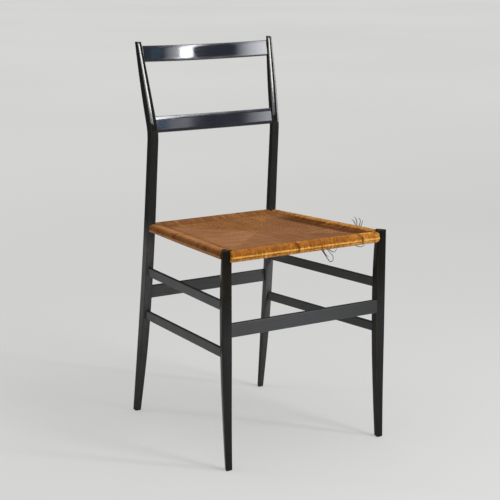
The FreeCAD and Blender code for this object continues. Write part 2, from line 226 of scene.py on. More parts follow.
# Painted light and shade: tints of the legs by height in metres, darker where the seat shades
# them, and brighter or dimmer along the rest as the light falls on them
FRONT_HEIGHTS = ((0.0, (0.92, 0.96, 1.02)), (0.12, (1.02, 1.08, 1.16)), (0.27, (1.24, 1.31, 1.40)),
                 (0.36, (0.68, 0.66, 0.60)), (0.45, (0.50, 0.47, 0.39)))
REAR_HEIGHTS = ((0.0, 0.41), (0.15, 0.56), (0.26, 1.0), (0.38, 1.0), (0.45, 0.26), (0.80, 0.17))
ALONG_X, ALONG_Y, ALONG_Z = 0, 1, 2

# Lighter and darker copies of one black lacquer: each part's black differs as painted light and
# shade, lightest on the rear legs and the back stretcher
lacquer_leg = lacquer("lacquer_leg", ALONG_Z, (0.021, 0.0205, 0.019), 0.16, 0.30, gloss=0.015,
                      light_by_height=FRONT_HEIGHTS)
lacquer_rear = lacquer("lacquer_rear", ALONG_Z, (0.108, 0.108, 0.109), 0.20, 0.34, gloss=0.0,
                       relief=0.05, light_by_height=REAR_HEIGHTS)
lacquer_facet = lacquer("lacquer_facet", ALONG_Z, (0.012, 0.012, 0.013), 0.04, 0.09, gloss=0.38,
                        rubbed=0.1, relief=0.010)
lacquer_across = lacquer("lacquer_across", ALONG_X, (0.044, 0.045, 0.047), 0.36, 0.52,
                         light_by_x=((0.49, 1.0), (0.60, 0.76), (0.69, 0.50)), top_shade=0.35)
lacquer_behind = lacquer("lacquer_behind", ALONG_X, (0.078, 0.080, 0.082), 0.36, 0.52, top_shade=0.2)
lacquer_along = lacquer("lacquer_along", ALONG_Y, (0.022, 0.023, 0.024), 0.34, 0.50,
                        light_by_height=((0.24, 0.98), (0.30, 1.3)), top_shade=0.15)
lacquer_slat = lacquer("lacquer_slat", ALONG_X, (0.018, 0.020, 0.028), 0.025, 0.075, gloss=0.53,
                       rubbed=0.15, relief=0.018, shine_tint=(0.93, 0.95, 1.0))


# Bare ash of the rails, inside the woven edges

def bare_wood(name, along):
    material, tree, shader = new_material(name)
    grain = noise(tree, object_place(tree, along, BARE_GRAIN_SQUEEZE), BARE_GRAIN_SCALE, 5.0, 0.6)
    tint = ramp(tree, grain, ((0.3, (0.30, 0.19, 0.10)), (0.7, (0.52, 0.37, 0.22))))
    dress(tree, shader, tint, ramp(tree, grain, ((0.3, 0.75), (0.7, 0.5))), grain, 0.4, 0.4 * MM)
    return material


for name, node in nodes.items():
    if name.startswith("side_stretcher"):
        paint(node, lacquer_along)
    elif name.endswith("stretcher"):
        paint(node, lacquer_behind if name.startswith("back") else lacquer_across)
    elif name.startswith("seat_rail"):
        paint(node, bare_wood("bare_wood_" + name,
                              ALONG_Y if name.endswith(("left", "right")) else ALONG_X))


# Cane strands: each strand has its own tone, and the vertices say how deep they lie, which darkens
# the tint towards a gap colour as painted shade

FIBRE_SCALE, FLECK_SCALE, SPOT_SCALE, PATCH_SCALE, BROAD_SCALE = 1400.0, 170.0, 120.0, 34.0, 7.0


def cane(name, dark, middle, light, gap=(0.055, 0.020, 0.005), low=0.42, high=0.62, spots=0.0,
         spot_tint=(0.09, 0.026, 0.008), gap_shade_share=0.8, mottle=0.3, gloss=0.22,
         age_and_shade_tint=(0.25, 0.105, 0.040)):
    material, tree, shader = new_material(name)
    tone, depth, age = (attribute(tree, key) for key in ("tone", "depth", "age"))
    place = object_place(tree)
    fibre = noise(tree, place, FIBRE_SCALE, 3.0, 0.6)
    fleck = noise(tree, place, FLECK_SCALE, 2.0, 0.5)
    patch = noise(tree, place, PATCH_SCALE, 4.0, 0.6)
    broad = noise(tree, place, BROAD_SCALE, 2.0)
    value = times(tree, tone, 0.80)
    for part, share in ((patch, 0.50), (fleck, mottle * 2), (broad, 0.25), (fibre, 0.16)):
        value = plus(tree, value, times(tree, part, share))
    value = maths(tree, "SUBTRACT", value, 0.355 + mottle)
    tint = ramp(tree, value, ((0.10, dark), (0.50, middle), (0.90, light)))
    # The age and shade value turns the tint towards the darker aged tint, both for age and for
    # painted shade
    marked = mix(tree, ramp(tree, value, ((0.2, 0.0), (0.8, 1.0))),
               tuple(0.75 * c for c in age_and_shade_tint), tuple(1.25 * c for c in age_and_shade_tint))
    tint = mix(tree, age, tint, marked)
    if spots:
        spot = ramp(tree, noise(tree, place, SPOT_SCALE, 3.0, 0.6), ((0.54, 0.0), (0.66, 1.0)))
        tint = mix(tree, times(tree, spot, spots), tint, spot_tint)
    # Painted shade: the deeper a place lies, the more its tint turns to the dark gap colour
    tint = mix(tree, times(tree, depth, gap_shade_share), tint, gap)
    rough = plus(tree, remap(tree, value, 0.2, 0.9, high, low), times(tree, depth, 0.25))
    height = plus(tree, fibre, times(tree, fleck, 0.8))
    dress(tree, shader, tint, rough, height, 0.30, 0.4 * MM, gloss)
    return material


# Lighter and darker copies of one cane for each part, partly the cane's own tone and partly
# painted light and shade, the front edge lit the most
cane_front = cane("cane_front", (0.24, 0.070, 0.003), (0.46, 0.158, 0.005), (0.92, 0.48, 0.12),
                  gap=(0.090, 0.024, 0.002), low=0.34, high=0.54, spots=0.32,
                  spot_tint=(0.17, 0.045, 0.003), mottle=0.42, gloss=0.15,
                  age_and_shade_tint=(0.25, 0.100, 0.034))
cane_left = cane("cane_left", (0.120, 0.026, 0.003), (0.31, 0.110, 0.018), (0.47, 0.215, 0.075),
                 spots=0.40, spot_tint=(0.12, 0.028, 0.004), mottle=0.26, gloss=0.14)
cane_right = cane("cane_right", (0.095, 0.026, 0.004), (0.26, 0.088, 0.012), (0.66, 0.31, 0.060),
                  spots=0.5, mottle=0.36, gloss=0.08)
cane_fray = cane("cane_fray", (0.060, 0.020, 0.005), (0.110, 0.042, 0.012), (0.20, 0.085, 0.026),
                 gloss=0.08)
cane_field = cane("cane_field", (0.18, 0.068, 0.020), (0.285, 0.119, 0.041), (0.42, 0.200, 0.082),
                  gap_shade_share=0.30, mottle=0.09, gloss=0.13, age_and_shade_tint=(0.115, 0.036, 0.007))
cane_back = cane("cane_back", (0.10, 0.033, 0.007), (0.245, 0.092, 0.023), (0.50, 0.22, 0.048),
                 gap_shade_share=0.6, mottle=0.32, gloss=0.13)
cane_under = cane("cane_under", (0.16, 0.06, 0.02), (0.26, 0.11, 0.04), (0.38, 0.18, 0.08))


# Seat layout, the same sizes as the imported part's

SEAT_FRONT_Z, SEAT_REAR_Z = 0.4390, 0.4294
FRONT_RAIL_Y, BACK_RAIL_Y = -0.21455, 0.15313
OUTER_FRONT_Y, OUTER_BACK_Y = -0.22655, 0.16513
CORNER_FRONT_X, CORNER_BACK_X = 0.19916, 0.16570
FRONT_HALF_SPAN, BACK_HALF_SPAN = 0.18347, 0.15114
CENTRE = np.array((0.0, -0.0307))
SIDE_RISE = 0.6 * MM
PITCH = 1.9 * MM
RELIEF = 0.34 * MM
GROOVE_SHARE = 0.205
GROOVE_DEPTH = 1.1 * MM
GROOVE_HALF = 0.005
FIELD_CENTRE = 1.5 * MM
UNDER_SHARE, UNDER_SAG = 0.86, 1.6 * MM

FL, FR, BR, BL = np.array((
    (-CORNER_FRONT_X, OUTER_FRONT_Y), (CORNER_FRONT_X, OUTER_FRONT_Y),
    (CORNER_BACK_X, OUTER_BACK_Y), (-CORNER_BACK_X, OUTER_BACK_Y)))


class Side:
    """One side of the seat: its outer line, its inward direction and its section."""

    def __init__(self, name, first, last, crest, edge, start, stop, shape, turns):
        self.name = name
        self.first = first
        self.length = norm(last - first)
        self.along = (last - first) / self.length
        self.inward = np.array((-self.along[1], self.along[0]))
        self.reach = float(np.dot(CENTRE - first, self.inward))
        self.foot = float(np.dot(CENTRE - first, self.along))
        self.groove = GROOVE_SHARE * self.reach
        self.crest, self.edge, self.shape, self.turns = crest, edge, shape, turns
        self.start, self.stop = start, stop

    def place(self, t, s):
        """Places t along the side and s inward from its outer line."""
        return self.first + t[..., None] * self.along + s[..., None] * self.inward

    def mitre(self, t):
        """How far in a strand at t runs before it meets the mitre."""
        near = t * self.reach / self.foot
        far = (self.length - t) * self.reach / (self.length - self.foot)
        return np.minimum(near, far)

    def distance(self, x, y):
        return (x - self.first[0]) * self.inward[0] + (y - self.first[1]) * self.inward[1]


def rail_height(y):
    share = (y - FRONT_RAIL_Y) / (BACK_RAIL_Y - FRONT_RAIL_Y)
    return SEAT_FRONT_Z + (SEAT_REAR_Z - SEAT_FRONT_Z) * share


# Section of a woven edge in millimetres: how far in and how high its outer face is
CROSS_SHAPE = ((9.0, 11.2), (6.4, 10.3), (4.3, 8.4), (2.9, 6.0), (1.9, 3.2), (1.0, 0.0),
               (0.3, -2.9), (0.0, -4.9), (0.5, -6.7), (1.9, -8.5), (4.4, -10.3), (8.0, -11.2))
SIDE_SHAPE = ((9.0, 8.9), (6.0, 8.3), (3.6, 6.8), (1.9, 4.5), (0.8, 1.8), (0.2, -1.0),
              (0.0, -3.0), (0.5, -4.8), (1.6, -6.4), (3.4, -7.9), (5.6, -8.7), (8.0, -8.9))

sides = {
    "front": Side("front", FL, FR, 11.2 * MM, 5.4 * MM, CORNER_FRONT_X - FRONT_HALF_SPAN,
                  CORNER_FRONT_X + FRONT_HALF_SPAN, CROSS_SHAPE, (2.5 * MM, 13 * MM)),
    "right": Side("right", FR, BR, 10.8 * MM, 3.4 * MM, 0.0260, 0.3774, SIDE_SHAPE,
                  (6 * MM, 6 * MM)),
    "back": Side("back", BR, BL, 11.2 * MM, 5.4 * MM, CORNER_BACK_X - BACK_HALF_SPAN,
                 CORNER_BACK_X + BACK_HALF_SPAN, CROSS_SHAPE, (5 * MM, 5 * MM)),
    "left": Side("left", BL, FL, 9.9 * MM, 5.4 * MM, 0.0157, 0.3671, SIDE_SHAPE, (9 * MM, 3 * MM)),
}


def smooth(low, high, value):
    share = np.clip((value - low) / (high - low), 0, 1)
    return share * share * (3 - 2 * share)


def bump_at(value, middle, half):
    return np.exp(-((value - middle) / half) ** 2)


def profile(side, s):
    """Height over the rail, from the crest in to the groove and over the sagging field."""
    slope = side.crest + (side.edge - side.crest) * smooth(10 * MM, 31 * MM, s)
    inner = np.clip((s - side.groove) / (side.reach - side.groove), 0, 1)
    field = FIELD_CENTRE + (side.edge - FIELD_CENTRE) * (1 - inner) ** 2
    return np.where(s < side.groove, slope, field)


def top_height(x, y, top=True):
    """Height of the woven top, or of the underside, blended between the sides near a corner."""
    weights, total, share = 0.0, 0.0, 1.0
    for side in sides.values():
        s = side.distance(x, y)
        weight = 1 / np.maximum(s + 3 * MM, 1 * MM) ** 4
        rise = SIDE_RISE if side.shape is SIDE_SHAPE else 0.0
        total += weight * (profile(side, s) + rise)
        weights += weight
        share = np.minimum(share, s / side.reach)
    height = total / weights
    if top:
        notch = bump_at(share, GROOVE_SHARE, GROOVE_HALF)
        return rail_height(y) + height - GROOVE_DEPTH * notch
    return rail_height(y) - height * UNDER_SHARE - UNDER_SAG * smooth(0.1, 0.6, share)


def strand_values(t, seed):
    """Each place's arch across its strand, and that strand's tone, lift and number."""
    rng = np.random.default_rng(seed)
    count = int(np.max(t) / PITCH) + 3

    def drifting(span):
        """A tone that is drawn afresh once in a span of strands."""
        spots = np.arange(0, count + span, span)
        drawn = rng.uniform(-1, 1, count // span + 2)[:len(spots)]
        return np.interp(np.arange(count), spots, drawn)

    tone = 0.5 + 0.16 * rng.uniform(-1, 1, count) + 0.07 * drifting(6) + 0.08 * drifting(22)
    lifts = rng.normal(0, 0.16, count)
    number = np.clip((t / PITCH).astype(int), 0, count - 1)
    across = t / PITCH - number
    crown = 1 - np.abs(2 * across - 1) ** 3.2
    return crown[:, None], tone[number][:, None], lifts[number][:, None], number


def curve_through(values, share):
    """Smooth curve through evenly spaced values."""
    values = np.array(values, float)
    spot = min(max(share, 0), 1) * (len(values) - 1)
    first = min(int(spot), len(values) - 2)
    part = spot - first
    tangents = np.gradient(values)
    a, b = values[first], values[first + 1]
    ta, tb = tangents[first], tangents[first + 1]
    return ((2 * part ** 3 - 3 * part ** 2 + 1) * a + (part ** 3 - 2 * part ** 2 + part) * ta
            + (3 * part ** 2 - 2 * part ** 3) * b + (part ** 3 - part ** 2) * tb)


# Mesh helpers

def new_object(name, data):
    thing = bpy.data.objects.new(name, data)
    scene.collection.objects.link(thing)
    return thing


def build_mesh(name, points, faces, values, flat_ends=False):
    """Smooth mesh with named values at its points. Flat ends are its last two faces."""
    mesh = bpy.data.meshes.new(name)
    mesh.from_pydata([tuple(point) for point in points], [], [tuple(face) for face in faces])
    mesh.validate()
    for key, numbers in values.items():
        layer = mesh.attributes.new(key, "FLOAT", "POINT")
        layer.data.foreach_set("value", np.asarray(numbers, np.float32))
    rounded = np.ones(len(mesh.polygons), bool)
    if flat_ends:
        rounded[-2:] = False
    mesh.polygons.foreach_set("use_smooth", rounded)
    mesh.update()
    return new_object(name, mesh)


def tube_faces(rings, around, first=0):
    """Faces through a number of rings of points, with the two ends last."""
    faces = []
    for row in range(rings - 1):
        low, high = first + row * around, first + (row + 1) * around
        for k in range(around):
            nxt = (k + 1) % around
            faces.append((low + k, low + nxt, high + nxt, high + k))
    last = first + (rings - 1) * around
    faces.append(tuple(first + k for k in range(around - 1, -1, -1)))
    faces.append(tuple(last + k for k in range(around)))
    return faces


def finish_piece(piece, material, node):
    piece.data.materials.append(material)
    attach(piece, "root")
    if node:
        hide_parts(node)


# Woven edges: strands wound over the rail, from the groove above to the groove below.
# Each bands function gives the tone, the age and shade values and the dark dots over a side; the
# front, left and right ones also paint light and shade.

TOP_STEPS, FACE_STEPS, UNDER_STEPS = 16, 26, 8
SECTION_STEPS, SECTION_BLUR = 240, 25
PER_STRAND = 5
WANDER_STEPS = 9
TOP_INNER, UNDER_INNER, LEAST_LIMIT = 9.4 * MM, 9.0 * MM, 10 * MM
SLIT_LEAN, SLIT_FOOT, SLIT_RUN = 17 * MM, TOP_STEPS + 12, 20.0
SLIT_MIDDLE, SLIT_REACH, SLIT_SHADE = TOP_STEPS + 7, 13.0, 2.6
LIP_AWAY, LIP_HALF, LIP_RISE = 2.6 * MM, 1.4 * MM, 0.7 * MM
DEEPEST_TURN = 8.5 * MM


def front_bands(t, s, z, number, rng):
    """Golden face with a pale painted highlight line low down, and a top that goes from brown to
    golden.
    """
    # Painted highlight: each strand's strength of the pale line, stronger near the left end
    marked = 0.65 + 0.35 * rng.uniform(0, 1, number.max() + 1)[number][:, None]
    marked = marked * (0.98 + 0.22 * smooth(0.20, 0.12, t))
    tone = marked * bump_at(z, -3.0 * MM, 1.6 * MM) - 0.18 * smooth(11.3 * MM, 9.3 * MM, z)
    tone = tone + 0.42 * smooth(-5.5 * MM, -7.5 * MM, z) + 0.05 * smooth(0.10, 0.30, t)
    reach = 11 * MM + 32 * MM * smooth(0.09, 0.31, t)
    age = smooth(0, 5 * MM, s - reach)
    dots = bump_at(s, 12.5 * MM, 2.0 * MM) * ((number // 2) % 2)[:, None] * smooth(0.12, 0.06, t)
    return tone, age, 0.8 * dots


def left_bands(t, s, z, number, rng):
    """Painted light and shade: a paler lit crest, a dark reddish face in painted shade and a paler
    lit band beneath.
    """
    crest = smooth(4.0 * MM, 8.0 * MM, z) * smooth(34 * MM, 14 * MM, s)
    face = smooth(9.0 * MM, 7.0 * MM, z) * smooth(-2.0 * MM, 0.5 * MM, z)
    low = smooth(-0.5 * MM, -3.0 * MM, z)
    return 0.26 * crest - 0.20 * face + 1.05 * low, np.zeros_like(s), np.zeros_like(s)


def right_fade(t):
    """The painted shade on the slope inside the right edge gives out before it reaches the back
    corner.
    """
    return smooth(0.345, 0.265, t)


def right_bands(t, s, z, number, rng):
    """Golden crest in painted light and a dark mottled slope inside it in painted shade."""
    fade = right_fade(t)
    blotch = rng.uniform(0.4, 1.0, number.max() // 3 + 2)[number // 3][:, None]
    slope = smooth(18 * MM, 22 * MM, s) * fade * blotch
    tone = 0.36 * (0.30 + 0.70 * fade) * bump_at(s, 14 * MM, 7.0 * MM) - 0.44 * slope
    return tone, 0.85 * (1 - fade) * smooth(12 * MM, 20 * MM, s), 0.40 * slope


def back_bands(t, s, z, number, rng):
    return -0.05 * smooth(9 * MM, 15 * MM, s), np.zeros_like(s), np.zeros_like(s)


def section_curve(shape):
    """Evenly spaced points along the smooth outer face of a section."""
    corners = np.array(shape) * MM
    steps = norm(np.diff(corners, axis=0), axis=1)
    length = np.hstack((0, np.cumsum(steps)))
    fine = np.linspace(0, length[-1], SECTION_STEPS)
    kernel = np.hanning(SECTION_BLUR)
    kernel /= kernel.sum()
    pad = SECTION_BLUR // 2
    pick = np.linspace(0, SECTION_STEPS - 1, FACE_STEPS).astype(int)
    curves = []
    for column in (0, 1):
        values = np.interp(fine, length, corners[:, column])
        before = 2 * values[0] - values[pad:0:-1]
        after = 2 * values[-1] - values[-2:-pad - 2:-1]
        curves.append(np.convolve(np.hstack((before, values, after)), kernel, "valid")[pick])
    return curves


def front_hang(t):
    """How much lower than the rail's own section the strands hang in front."""
    return np.full_like(t, 2.7 * MM)


def left_hang(t):
    """Less than nothing: the left edge is thinner towards the rear."""
    return -0.8 * MM - 2.6 * MM * smooth(0.20, 0.03, t)


def edge_surface(side, t, hang):
    """The edge without its strands: points, how far in and how high on the section they are."""
    face_s, face_z = section_curve(side.shape)
    limit = np.clip(side.mitre(t), LEAST_LIMIT, side.groove)
    top_s = np.linspace(limit, TOP_INNER, TOP_STEPS, axis=1)
    under_s = np.linspace(UNDER_INNER, limit, UNDER_STEPS, axis=1)
    inward = np.hstack((top_s, np.tile(face_s, (len(t), 1)), under_s))
    flat = side.place(t[:, None], inward)
    top_z = top_height(flat[:, :TOP_STEPS, 0], flat[:, :TOP_STEPS, 1])
    under_z = top_height(flat[:, -UNDER_STEPS:, 0], flat[:, -UNDER_STEPS:, 1], False)
    share = (face_z - face_z[-1]) / (face_z[0] - face_z[-1])
    face_height = under_z[:, :1] + (top_z[:, -1:] - under_z[:, :1]) * share
    drop = hang(t)[:, None]
    face_height = face_height - drop * smooth(-4 * MM, -11 * MM, face_z)
    under_z = under_z - drop * smooth(side.groove, 12 * MM, under_s)
    height = np.hstack((top_z, face_height, under_z))
    rise = np.hstack((np.full_like(top_s, side.crest), np.tile(face_z, (len(t), 1)),
                      np.full_like(under_s, -side.crest)))
    return np.dstack((flat, height)), inward, rise


def outward_from(side, points):
    """Directions that stand off the edge's surface."""
    forward = np.roll(points, -1, 1) - np.roll(points, 1, 1)
    forward[:, 0] = points[:, 1] - points[:, 0]
    forward[:, -1] = points[:, -1] - points[:, -2]
    outward = np.cross(forward, (*side.along, 0.0))
    outward /= norm(outward, axis=2)[..., None]
    probe = TOP_STEPS + 5
    if np.sum(outward[:, probe] * (points[:, probe] - points.mean(1))) < 0:
        outward = -outward
    return outward


def woven_edge(side, material, seed, bands, slits=(), hang=np.zeros_like):
    count = int(round((side.stop - side.start) / PITCH)) * PER_STRAND
    t = np.linspace(side.start, side.stop, count + 1)
    crown, tone, lift, number = strand_values(t, seed)
    rng = np.random.default_rng(seed + 100)
    points, inward, rise = edge_surface(side, t, hang)
    outward = outward_from(side, points)
    width, ring = inward.shape

    # Each strand stands out from the surface in an arch, a little more or less than its neighbours
    wander = rng.normal(0, 1, (int(number.max()) + 1, WANDER_STEPS))
    stations = np.linspace(0, WANDER_STEPS - 1, ring)
    waver = np.array([np.interp(stations, np.arange(WANDER_STEPS), row) for row in wander])[number]
    stand = RELIEF * (crown - 1) + RELIEF * 0.55 * lift * crown + 0.03 * MM * waver * crown
    shift, age, dots = bands(t[:, None], inward, rise, number, rng)
    # Painted shade: darker between the strands and in the groove, and at the bands' dark dots
    dip = np.clip(0.8 * (1 - crown) + dots + 0.55 * bump_at(inward, side.groove, 2.5 * MM), 0, 1)
    rows = np.arange(ring)
    lean = SLIT_LEAN * np.clip((SLIT_FOOT - rows) / SLIT_RUN, 0, 1) ** 2
    window = bump_at(rows, SLIT_MIDDLE, SLIT_REACH)
    # Each slit sinks in with painted shade inside it and a raised lip beside it
    for middle, half, deep in slits:
        slit = bump_at(t[:, None], middle - lean, half) * window
        lip = bump_at(t[:, None], middle - lean - LIP_AWAY, LIP_HALF) * window
        stand = stand - deep * slit + LIP_RISE * lip
        dip = np.clip(dip + SLIT_SHADE * slit, 0, 1)
    points = points + outward * stand[..., None]

    # The ends turn in
    inset = np.zeros(width)
    for edge, turn in zip((t - t[0], t[-1] - t), side.turns):
        near = np.clip(turn - edge, 0, turn)
        inset += np.minimum(turn - np.sqrt(turn ** 2 - near ** 2), DEEPEST_TURN)
    points = points - outward * inset[:, None, None]
    tones = tone + 0.05 * waver + shift

    index = np.arange(width * ring).reshape(width, ring)
    after = np.roll(index, -1, 1)
    faces = np.stack((index[:-1], after[:-1], after[1:], index[1:]), -1).reshape(-1, 4).tolist()
    first_cap, last_cap = width * ring, width * ring + 1
    for near, nxt in zip(index[[0, -1]].T.tolist(), after[[0, -1]].T.tolist()):
        faces.append((nxt[0], near[0], first_cap))
        faces.append((near[1], nxt[1], last_cap))
    everything = np.vstack((points.reshape(-1, 3), points[0].mean(0), points[-1].mean(0)))
    values = {key: np.append(part, (cap, cap))
              for key, part, cap in (("tone", tones, 0.4), ("depth", dip, 0.6), ("age", age, 0.0))}
    piece = build_mesh("woven_edge_" + side.name, everything, faces, values)
    finish_piece(piece, material, "seat_wrap_" + side.name)


woven_edge(sides["front"], cane_front, 11, front_bands,
           slits=((0.1735, 2.0 * MM, 1.7 * MM), (0.3320, 2.3 * MM, 1.9 * MM)), hang=front_hang)
woven_edge(sides["left"], cane_left, 12, left_bands, hang=left_hang)
woven_edge(sides["right"], cane_right, 13, right_bands)
woven_edge(sides["back"], cane_back, 14, back_bands)


# Woven field: strands run in from each side to the mitres and dive under in a herringbone

WEAVE_PERIOD = 10 * MM
DRIFT_STEPS = 12
FIELD_THICKNESS = 1.1 * MM
LEAST_CELL = 1e-6


def field(side, material, seed, top=True, weave=0.3, shade=0.0):
    across_step = PITCH / (4 if top else 2)
    inward_step = (1.5 if top else 4) * MM
    margin = side.groove * side.foot / side.reach
    far_margin = side.groove * (side.length - side.foot) / side.reach
    count = int((side.length - margin - far_margin) / across_step)
    t = np.linspace(margin, side.length - far_margin, count + 1)
    rows = int((side.reach - side.groove) / inward_step) + 1
    s = np.linspace(side.groove, side.reach, rows + 1)
    crown, tone, lift, number = strand_values(t, seed)
    grid_s = np.minimum(s, side.mitre(t)[:, None])
    flat = side.place(t[:, None], grid_s)
    height = top_height(flat[..., 0], flat[..., 1], top)

    group = number // 3
    rng = np.random.default_rng(seed + 200)
    drift = rng.normal(0, 0.22, (group.max() + 1, DRIFT_STEPS))
    stations = np.linspace(0, side.reach, DRIFT_STEPS)
    jitter = np.array([np.interp(s, stations, row) for row in drift])[group]
    phase = (0.5 * (group % 2) + 0.05 * group)[:, None]
    dive = smooth(0.30, 0.90, np.cos(math.tau * (grid_s / WEAVE_PERIOD + phase + jitter)))
    stand = RELIEF * (crown - 1) + RELIEF * 0.4 * lift - 0.45 * weave * MM * dive
    height = height + (stand if top else -stand)

    inner = (grid_s - side.groove) / (side.reach - side.groove)
    fade = smooth(0.10, 0.55, inner) if side.name == "back" else 1.0
    # Painted shade: darker between the strands and where they dive under, lighter where they rise;
    # on the back less near the groove
    dip = np.clip(0.7 * (1 - crown) + 0.85 * weave * dive * (0.35 + 0.65 * fade), 0, 1)
    tones = tone + shade + 0.25 * weave * (1 - 2 * dive)
    rim_shade = 0 * grid_s
    if top:
        tones = tones + 0.22 * smooth(0.45, 0.85, grid_s / side.reach) * (1 - weave)
        if side.name == "front":
            # Painted light and shade: the front field lighter near its left end and darker towards
            # the right
            tones = tones + (0.09 * smooth(0.20, 0.08, t) - 0.22 * smooth(0.18, 0.32, t))[:, None]
        if side.name == "right":
            # Painted shade along the groove inside the right edge, fading towards the back corner,
            # carried in the age and shade values
            rim_shade = smooth(18 * MM, 11 * MM, grid_s - side.groove) * right_fade(t)[:, None]

    # Cells beyond the mitre have no width and are left out
    points = np.dstack((flat, height)).reshape(-1, 3)
    index = np.arange(grid_s.size).reshape(grid_s.shape)
    open_cell = np.diff(grid_s, axis=1) > LEAST_CELL
    open_cell = open_cell[:-1] | open_cell[1:]
    quads = np.stack((index[:-1, :-1], index[1:, :-1], index[1:, 1:], index[:-1, 1:]), -1)
    quads = quads[open_cell]
    if not top:
        quads = quads[:, ::-1]
    used = np.unique(quads)
    remap = -np.ones(len(points), int)
    remap[used] = np.arange(len(used))
    values = {key: part.reshape(-1)[used]
              for key, part in (("tone", tones), ("depth", dip), ("age", rim_shade))}
    name, node = ("woven_field_", "seat_top_") if top else ("woven_under_", "seat_underside_")
    piece = build_mesh(name + side.name, points[used], remap[quads].tolist(), values)
    solid = piece.modifiers.new("thickness", "SOLIDIFY")
    solid.thickness = FIELD_THICKNESS
    solid.offset = -1
    finish_piece(piece, material, node + side.name)


# For each side its material, how deep its strands dive and how much lighter it is, a painted light
# and shade
FIELD_LOOKS = {"front": (cane_field, 0.25, -0.12), "right": (cane_field, 0.42, -0.18),
               "back": (cane_back, 0.62, 0.0), "left": (cane_field, 0.16, 0.02)}
for seed, (name, side) in enumerate(sides.items()):
    look, weave, shade = FIELD_LOOKS[name]
    field(side, look, 31 + seed, weave=weave, shade=shade)
    field(side, cane_under, 51 + seed, top=False)


# Loose strands: a tuft on the right crest and loops under the front edge

STRAND_RADIUS, STRAND_TAPER = 0.95, 0.5
STRAND_AROUND, STRAND_STEPS = 6, 28


def loose_strands(name, base_z, strands):
    """Closed tapered tubes along smooth curves, in millimetres, with Z counted from the base."""
    points, faces = [], []
    for strand in strands:
        marks = np.array(strand, float) + (0, 0, base_z)
        shares = np.arange(STRAND_STEPS) / (STRAND_STEPS - 1)
        path = np.array([[curve_through(marks[:, k], share) for k in range(3)]
                         for share in shares])
        forward = np.gradient(path, axis=0)
        forward /= norm(forward, axis=1)[:, None]
        side = np.cross(forward, (0.3, 0.9, 0.31))
        side /= norm(side, axis=1)[:, None]
        over = np.cross(forward, side)
        faces.extend(tube_faces(STRAND_STEPS, STRAND_AROUND, len(points)))
        for k, share in enumerate(shares):
            radius = STRAND_RADIUS * (1 - STRAND_TAPER * share)
            for step in range(STRAND_AROUND):
                angle = math.tau * step / STRAND_AROUND
                reach = math.cos(angle) * side[k] + math.sin(angle) * over[k]
                points.append(path[k] + radius * reach)
    count = len(points)
    piece = build_mesh(name, np.array(points) * MM, faces, {
        "tone": np.full(count, 0.1), "depth": np.full(count, 0.55), "age": np.zeros(count)})
    finish_piece(piece, cane_fray, None)


CREST_Z, FRONT_LOW_Z = 445.0, 429.0
loose_strands("loose_strands_crest", CREST_Z, (
    ((186, -128, 0), (184, -129, 7), (179, -130, 13), (174, -131, 16)),
    ((187, -132, 0), (186, -133, 9), (183, -134, 17), (178, -135, 22)),
    ((187, -139, 0), (189, -140, 8), (189, -141, 15), (185, -141, 20)),
    ((187, -143, 0), (190, -144, 5), (191, -145, 10), (192, -146, 15)),
))
loose_strands("loose_strands_front", FRONT_LOW_Z, (
    ((32, -222, 0), (36, -226, -8), (42, -227, -17), (50, -227, -26), (57, -227, -24),
     (57, -226, -15), (50, -225, -7), (45, -222, 0)),
    ((36, -222, 0), (37, -226, -7), (41, -227, -12), (45, -227, -15)),
    ((47, -222, 0), (54, -226, -5), (61, -227, -7), (66, -227, -1)),
    ((116, -222, 0), (121, -226, -3), (129, -227, -4), (137, -227, -1)),
))


# Legs: rounded triangles with a crowned face to the front, in millimetres, the same sizes as
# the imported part's. Each list gives how a measure goes from the foot or the bend upwards.

LEG_TOP_Z, BEND_Z, POST_TOP_Z = 451.6, 640.0, 830.0
FACE_Y = -218.15
CROWN_SHARE, CORNER_SHARE, NOSE_SHARE = 0.04, 0.11, 0.21
CROWN_POINTS, CORNER_POINTS, FLANK_POINTS, NOSE_POINTS = 22, 7, 8, 12
FRONT_LEAD = (1, 0.63, 0.37, 0.19, 0.09, 0.03, 0.01, 0, 0)
FRONT_WIDTH = (0, 0.24, 0.48, 0.72, 0.92, 0.98, 1, 1, 1)
FRONT_DEPTH = (0, 0.27, 0.52, 0.75, 0.92, 0.99, 0.97, 0.72, 0.275)
REAR_WIDTH = (0, 0.55, 0.90, 1, 1, 1, 0.95, 0.80, 0.70)
REAR_DEPTH = (0, 0.42, 0.80, 0.98, 1.01, 1.01, 0.98, 0.92, 0.90)
POST_WIDTH = (0, 0.15, 0.31, 0.51, 0.75, 1)
POST_DEPTH = (0, 0.09, 0.24, 0.44, 0.69, 1)
FRONT_X, FRONT_LEAD_BY, FRONT_NOSE = 189.5, 5.6, 1.1
FRONT_FOOT_WIDTH, FRONT_MORE_WIDTH, FRONT_FOOT_DEPTH, FRONT_MORE_DEPTH = 14.5, 8.0, 17.0, 10.9
REAR_FOOT_X, BEND_X, POST_SPLAY, REAR_NOSE = 165.0, 153.9, 11.2, -2.6
REAR_FOOT_Y, BEND_Y, POST_LEAN = FACE_Y + 444.7, FACE_Y + 376.0, 46.6
REAR_BOW_X, REAR_BOW_Y = 1.4, 4.0
REAR_FOOT_WIDTH, REAR_MORE_WIDTH, REAR_FOOT_DEPTH, REAR_MORE_DEPTH = 13.5, 5.0, 17.3, 11.0
BEND_WIDTH, BEND_DEPTH = 17.0, 27.2
BEND_REACH = 20.0
END_STEP = 1.2
POST_TOP_WIDTH, POST_TOP_DEPTH = 10.5, 14.5
FACET, FACET_SKEW, FACET_ABOVE = 0.10, 0.085, 4
RIGHT_POST_WIDER, WIDER_OVER = 0.18, 60


def arc_points(centre, radius, start, stop, count):
    angles = np.linspace(start, stop, count, endpoint=False)
    return np.stack((centre[0] + radius * np.cos(angles), centre[1] + radius * np.sin(angles)), 1)


